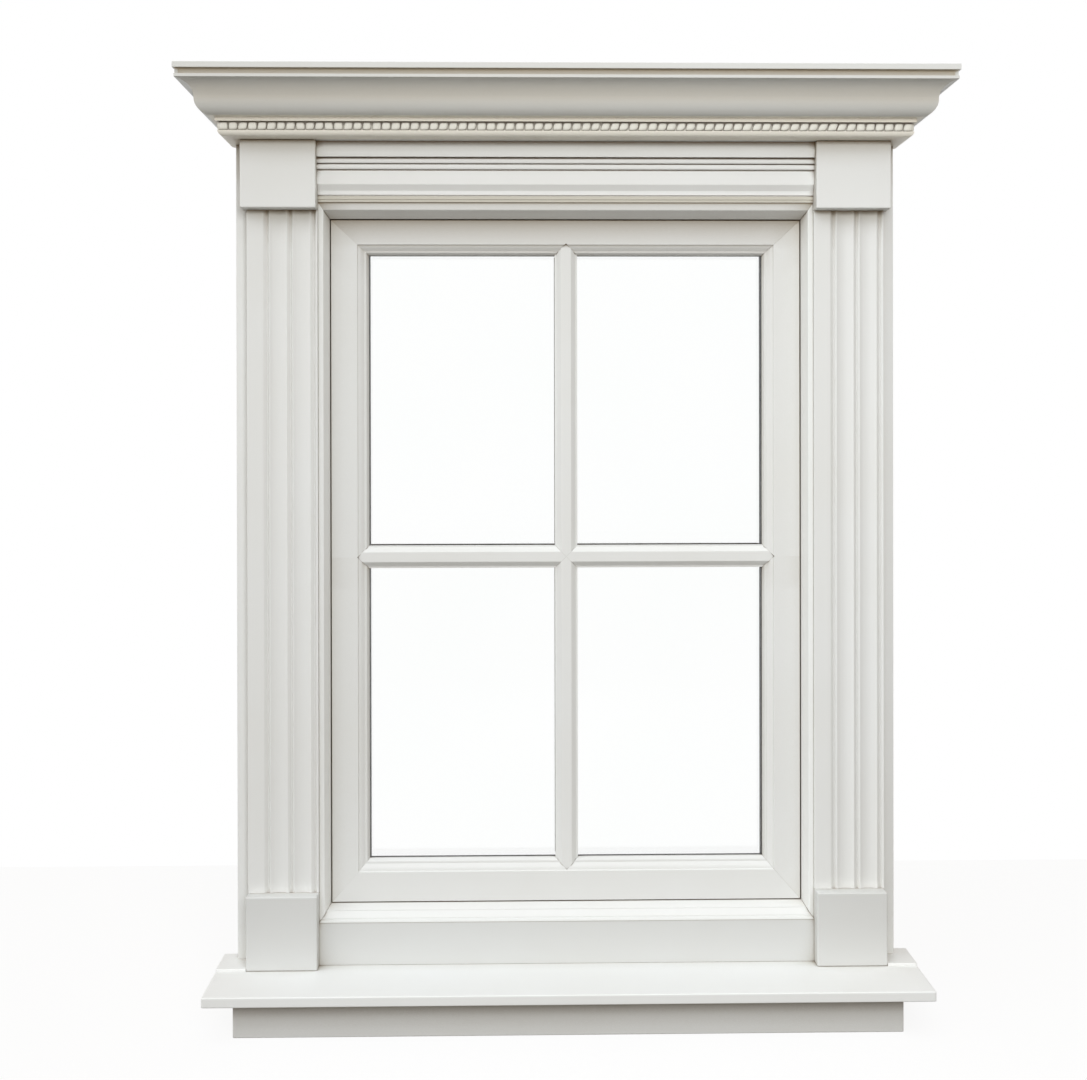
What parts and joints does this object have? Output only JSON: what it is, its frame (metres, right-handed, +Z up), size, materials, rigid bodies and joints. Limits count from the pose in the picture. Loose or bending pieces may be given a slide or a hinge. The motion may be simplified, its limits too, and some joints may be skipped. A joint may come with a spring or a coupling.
{
  "type": "double glazed window",
  "caption": "Double glazed timber window in a painted classical surround with fluted pilasters, a carved crown and a projecting sill.",
  "frame": {"origin": "centre of the sill's back face, on the face of the wall", "axes": "+Z up, -Y out of the wall towards the viewer, +X to the right as seen from the front"},
  "size_m": [1.115, 0.198, 1.384],
  "materials": {
    "painted_timber": "off-white satin paint",
    "clear_glass": "clear float glass",
    "black_spacer": "black warm-edge spacer"
  },
  "bodies": {
    "root": {"jamb_left": "painted_timber", "jamb_right": "painted_timber", "frame_head": "painted_timber", "frame_sill": "painted_timber", "sash_stile_left": "painted_timber", "sash_stile_right": "painted_timber", "sash_top_rail": "painted_timber", "sash_bottom_rail": "painted_timber", "glazing_bar_left": "painted_timber", "glazing_bar_right": "painted_timber", "glazing_bar_top": "painted_timber", "glazing_bar_bottom": "painted_timber", "outer_glass": "clear_glass", "inner_glass": "clear_glass", "spacer_uprights": "black_spacer", "spacer_rails": "black_spacer", "cross_spacer": "black_spacer", "rear_bead_left": "painted_timber", "rear_bead_right": "painted_timber", "rear_bead_top": "painted_timber", "rear_bead_bottom": "painted_timber", "rear_bar_upright": "painted_timber", "rear_bar_left": "painted_timber", "rear_bar_right": "painted_timber", "back_board_left": "painted_timber", "back_board_right": "painted_timber", "back_board_bottom": "painted_timber", "back_board_head": "painted_timber", "pilaster_left": "painted_timber", "pilaster_right": "painted_timber", "corner_block_left": "painted_timber", "corner_block_right": "painted_timber", "plinth_block_left": "painted_timber", "plinth_block_right": "painted_timber", "apron_board": "painted_timber", "head_architrave": "painted_timber", "sill": "painted_timber", "under_sill_apron": "painted_timber", "crown_core": "painted_timber", "crown_front": "painted_timber", "crown_return_left": "painted_timber", "crown_return_right": "painted_timber", "bead_course_front": "painted_timber", "bead_course_ends": "painted_timber"}
  },
  "joints": []
}
